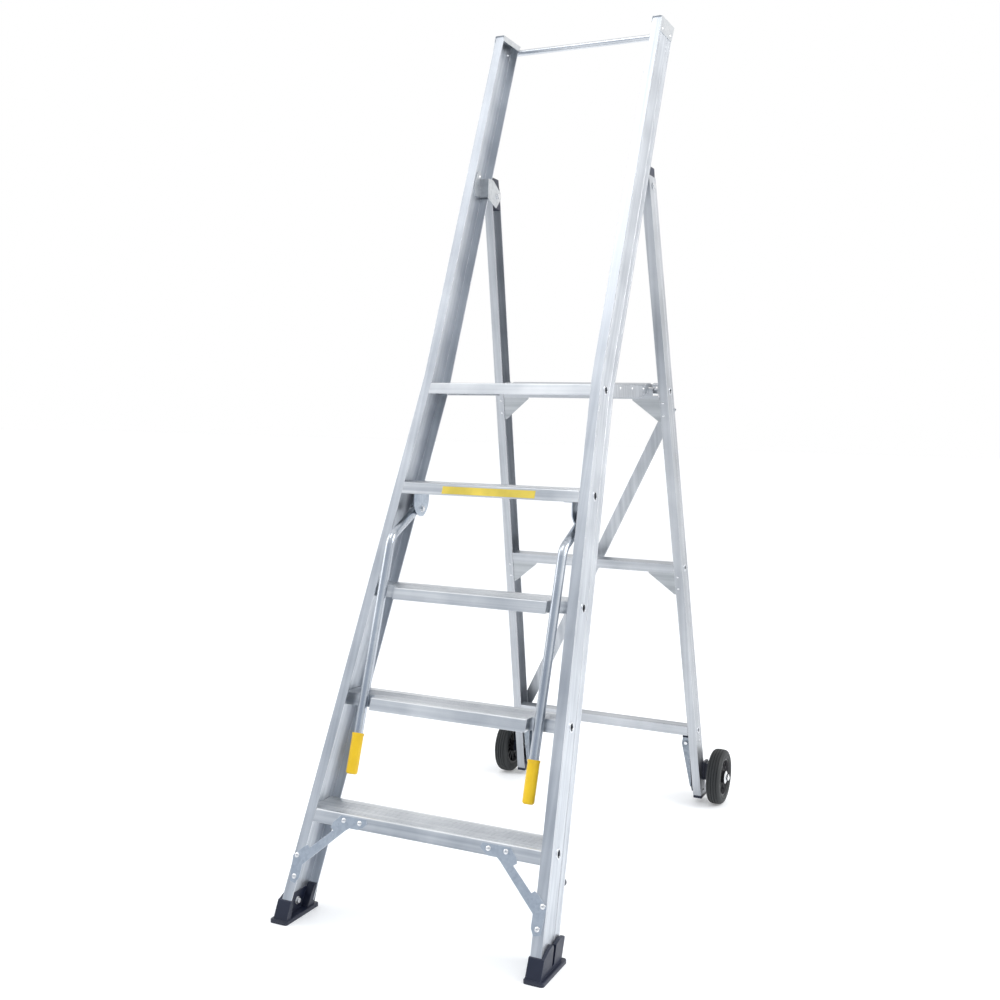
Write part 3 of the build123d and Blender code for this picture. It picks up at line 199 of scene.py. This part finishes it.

# ---------------------------------------------------------------- moulded feet, plugs, spacers and studs
# Injection-moulded polypropylene in near-black navy, with a fine spark-eroded texture and scuffs
# on the corners where they meet the floor. Every corner is paler, partly scuffs and partly painted
# highlight.
def moulded(name, colour, scuff_and_highlight, roughness, texture=900.0, relief=0.12):
    """Moulded plastic: an even colour, a fine pebble texture and paler corners, partly rubbed wear and
    partly painted highlight.
    """
    finish, tree, shader, place = new_finish(name)
    haze = node(tree, "TexNoise", {"Vector": place, "Scale": 16.0, "Detail": 6.0}).outputs["Fac"]
    hazed = tuple(min(1, part * 1.35) for part in colour[:3]) + (1,)
    tone = ramp(tree, haze, (0.35, colour), (0.75, hazed))
    rounded, edges = worn_and_highlit_edges(tree, 0.0014)
    patchy = node(tree, "Math", {0: edges, 1: haze}, operation="MULTIPLY").outputs[0]
    scuffed_and_highlit = node(tree, "Mix", {0: patchy, 6: tone, 7: scuff_and_highlight}, data_type="RGBA").outputs[2]
    tree.links.new(scuffed_and_highlit, shader.inputs["Base Color"])
    rough = ramp(tree, haze, (0.3, roughness - 0.06), (0.7, roughness + 0.10))
    tree.links.new(rough, shader.inputs["Roughness"])
    pebble = node(tree, "TexNoise", {"Vector": place, "Scale": texture, "Detail": 2.0}).outputs["Fac"]
    depth = {"Height": pebble, "Normal": rounded, "Strength": relief, "Distance": 0.0004}
    tree.links.new(node(tree, "Bump", depth).outputs["Normal"], shader.inputs["Normal"])
    return finish


navy_plastic = moulded("navy_moulded_plastic", (0.007, 0.011, 0.028, 1), (0.10, 0.12, 0.18, 1), 0.40)
coat(navy_plastic, "foot_left", "foot_right", "leg_top_plug_left", "leg_top_plug_right")
coat(navy_plastic, "leg_foot_plugs", "wheel_spacers", "stay_blocks", "fold_buffers")

# ---------------------------------------------------------------- grips and blank label
# The grips are soft yellow vinyl pushed over the tube ends. The label is a plain yellow film strip.
GRIP_YELLOW = (0.80, 0.50, 0.008, 1)
# The rubbed grip and label colours go on every corner: partly wear, partly painted highlight.
GRIP_RUBBED_AND_HIGHLIT = (0.90, 0.68, 0.12, 1)
grip_vinyl = moulded("yellow_vinyl_grip", GRIP_YELLOW, GRIP_RUBBED_AND_HIGHLIT, 0.42, 600.0, 0.10)
coat(grip_vinyl, "handle_grip_left", "handle_grip_right")
LABEL_YELLOW = (0.66, 0.51, 0.07, 1)
LABEL_RUBBED_AND_HIGHLIT = (0.75, 0.66, 0.25, 1)
label_film = moulded("yellow_label_film", LABEL_YELLOW, LABEL_RUBBED_AND_HIGHLIT, 0.45, 1200.0, 0.03)
coat(label_film, "tread_label")

# ---------------------------------------------------------------- wheels
# Solid black rubber tyres with moulded rings, on ribbed black nylon hubs that run on steel axles.
def rubber(name):
    """Dull rubber with a dusty bloom and fine moulding texture."""
    finish, tree, shader, place = new_finish(name)
    cloud = {"Vector": place, "Scale": 26.0, "Detail": 8.0, "Roughness": 0.65}
    dust = node(tree, "TexNoise", cloud).outputs["Fac"]
    tone = ramp(tree, dust, (0.30, (0.009, 0.011, 0.012, 1)), (0.72, (0.026, 0.029, 0.030, 1)))
    tree.links.new(tone, shader.inputs["Base Color"])
    tree.links.new(ramp(tree, dust, (0.3, 0.52), (0.7, 0.74)), shader.inputs["Roughness"])
    rounded = node(tree, "Bevel", {"Radius": 0.0012}, samples=4).outputs["Normal"]
    pores = node(tree, "TexNoise", {"Vector": place, "Scale": 700.0, "Detail": 3.0}).outputs["Fac"]
    skin = node(tree, "Bump", {"Height": pores, "Normal": rounded, "Strength": 0.2, "Distance": 0.0005})
    tree.links.new(skin.outputs["Normal"], shader.inputs["Normal"])
    return finish


coat(rubber("tyre_rubber"), "tyre_left", "tyre_right")
# The hub's paler corner colour is partly rubbed wear, partly painted highlight.
hub_nylon = moulded("black_hub_nylon", (0.014, 0.014, 0.017, 1), (0.10, 0.10, 0.11, 1), 0.36)
coat(hub_nylon, "wheel_hub_left", "wheel_hub_right")

# ---------------------------------------------------------------- floor, light and camera
# A pale studio floor under soft white light, seen from the front right at a little over belt height.
# The room is white behind and above the ladder and dimmer in front of it, which gives the metal its tone.
FLOOR_HALF = 60.0           # m
floor_mesh = bpy.data.meshes.new("floor")
turns = [(-1, -1), (1, -1), (1, 1), (-1, 1)]
corners = [(across * FLOOR_HALF, back * FLOOR_HALF, 0) for across, back in turns]
floor_mesh.from_pydata(corners, [], [(0, 1, 2, 3)])
floor = bpy.data.objects.new("floor", floor_mesh)
bpy.context.scene.collection.objects.link(floor)
floor_paint, floor_tree, floor_shader, floor_place = new_finish("pale_floor")
floor_shader.inputs["Base Color"].default_value = (0.86, 0.875, 0.89, 1)
floor_shader.inputs["Roughness"].default_value = 0.60
floor_shader.inputs["Emission Color"].default_value = (1.0, 1.0, 1.0, 1)
floor_shader.inputs["Emission Strength"].default_value = 0.22
floor_mesh.materials.append(floor_paint)

world = bpy.data.worlds.new("studio")
bpy.context.scene.world = world
world.use_nodes = True
sky = world.node_tree
toward = sky.nodes.new("ShaderNodeTexCoord").outputs["Generated"]
behind_and_up = {0: toward, 1: (0.0, 1.0, 0.55)}
steepness = node(sky, "VectorMath", behind_and_up, operation="DOT_PRODUCT").outputs["Value"]
sweep = node(sky, "MapRange", {"Value": steepness, "From Min": -0.85, "From Max": 0.05})
DIM_ROOM = (0.40, 0.455, 0.54, 1)
HALF_LIT = (0.73, 0.76, 0.80, 1)
panorama = ramp(sky, sweep.outputs["Result"], (0.0, DIM_ROOM), (0.50, HALF_LIT), (1.0, 1.0))
sky.links.new(panorama, sky.nodes["Background"].inputs["Color"])


def soft_light(name, place, aim, size, power):
    """A square soft box at a place, turned to its aim."""
    lamp = bpy.data.lights.new(name, "AREA")
    lamp.size = size
    lamp.energy = power
    holder = bpy.data.objects.new(name, lamp)
    holder.location = place
    holder.rotation_euler = (Vector(aim) - Vector(place)).to_track_quat("-Z", "Y").to_euler()
    bpy.context.scene.collection.objects.link(holder)


middle = Vector((0, 0, 1.2))
soft_light("key_right", (3.6, 0.6, 3.0), middle, 2.0, 95)
soft_light("fill_left", (-3.4, -1.0, 2.6), middle, 2.5, 30)
soft_light("front_top", (-0.7, -1.9, 4.8), (0, 0, 1.9), 1.8, 22)

EYE = Vector((1.3855, -3.263, 1.3079))
YAW = radians(24.925)       # left of straight ahead
PITCH = radians(3.801)      # below level
ROLL = radians(1.32)
LENS = 42.34                # mm on a 36 mm sensor
ahead = Vector((-sin(YAW) * cos(PITCH), cos(YAW) * cos(PITCH), -sin(PITCH)))
level_right = Vector((cos(YAW), sin(YAW), 0))
level_up = level_right.cross(ahead)
right = level_right * cos(ROLL) + level_up * sin(ROLL)
up = level_up * cos(ROLL) - level_right * sin(ROLL)
lens = bpy.data.cameras.new("camera")
lens.sensor_width = 36.0
lens.lens = LENS
camera = bpy.data.objects.new("camera", lens)
camera.matrix_world = Matrix.Translation(EYE) @ Matrix((right, up, -ahead)).transposed().to_4x4()
bpy.context.scene.collection.objects.link(camera)
bpy.context.scene.camera = camera
bpy.context.scene.view_settings.view_transform = "Standard"
